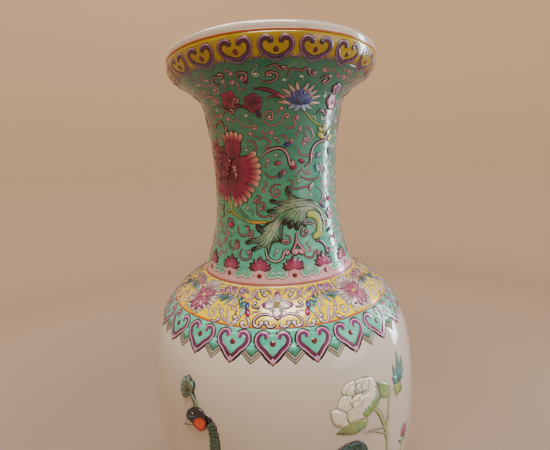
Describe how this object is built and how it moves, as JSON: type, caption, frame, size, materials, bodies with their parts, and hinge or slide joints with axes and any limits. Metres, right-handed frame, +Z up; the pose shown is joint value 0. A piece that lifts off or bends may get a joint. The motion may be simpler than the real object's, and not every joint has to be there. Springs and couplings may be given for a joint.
{
  "type": "porcelain vase",
  "caption": "Tall baluster vase in white porcelain with a dish mouth, waisted neck, sloping shoulder, full belly and recessed foot, glazed and banded with painted enamels.",
  "frame": {"origin": "middle of the foot ring, on the face it stands on", "axes": "+Z up along the axis the vase is thrown on, -Y towards the side seen first, +X to the right of it"},
  "size_m": [0.2928, 0.2928, 0.6104],
  "materials": {
    "porcelain": "matte",
    "slip": "matte",
    "glaze": "gloss",
    "iron_red": "gloss",
    "yellow_enamel": "gloss",
    "turquoise_enamel": "gloss",
    "pink_enamel": "gloss"
  },
  "bodies": {
    "root": {"foot_section": "porcelain", "lower_body_section": "porcelain", "belly_section": "porcelain", "shoulder_section": "porcelain", "neck_section": "porcelain", "mouth_section": "porcelain", "foot_slip": "slip", "lower_slip": "slip", "upper_slip": "slip", "neck_slip": "slip", "mouth_slip": "slip", "outer_glaze": "glaze", "inner_glaze": "glaze", "base_glaze": "glaze", "lip_line": "iron_red", "mouth_band": "yellow_enamel", "neck_ground": "turquoise_enamel", "pink_band": "pink_enamel", "neck_line": "iron_red", "shoulder_band": "yellow_enamel", "shoulder_line": "iron_red", "collar_band": "turquoise_enamel", "foot_band": "turquoise_enamel", "foot_line": "iron_red"}
  },
  "joints": []
}
